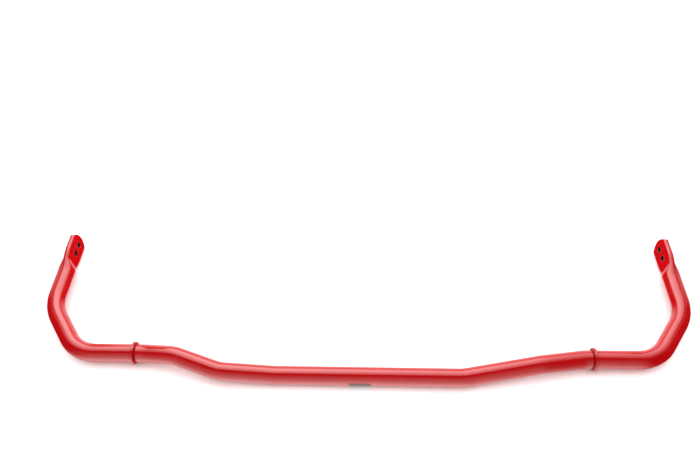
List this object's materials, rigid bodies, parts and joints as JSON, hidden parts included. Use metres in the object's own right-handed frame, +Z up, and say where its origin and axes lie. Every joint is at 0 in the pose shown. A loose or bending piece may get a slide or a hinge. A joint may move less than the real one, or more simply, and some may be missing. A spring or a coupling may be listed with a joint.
{
  "type": "sway bar",
  "caption": "Bent tubular sway bar in a wide U, with stop collars beside its bushing journals and arms whose ends are pressed flat, rounded and drilled for drop links.",
  "frame": {"origin": "middle of the bar's box, on the surface that the bar lies on", "axes": "+X along the bushing journals, from the left arm to the right arm; +Y along the arms towards their drilled ends; +Z up from the surface, 5 degrees off the plane of the drilled faces"},
  "size_m": [1.0498, 0.2752, 0.0439],
  "materials": {
    "bar_paint": "glossy red powder coat",
    "collar_paint": "glossy red powder coat",
    "label_film": "matt grey film, blank"
  },
  "bodies": {
    "root": {"torsion_bar": "bar_paint", "stop_collar_left": "collar_paint", "stop_collar_right": "collar_paint", "blank_label": "label_film"}
  },
  "joints": []
}
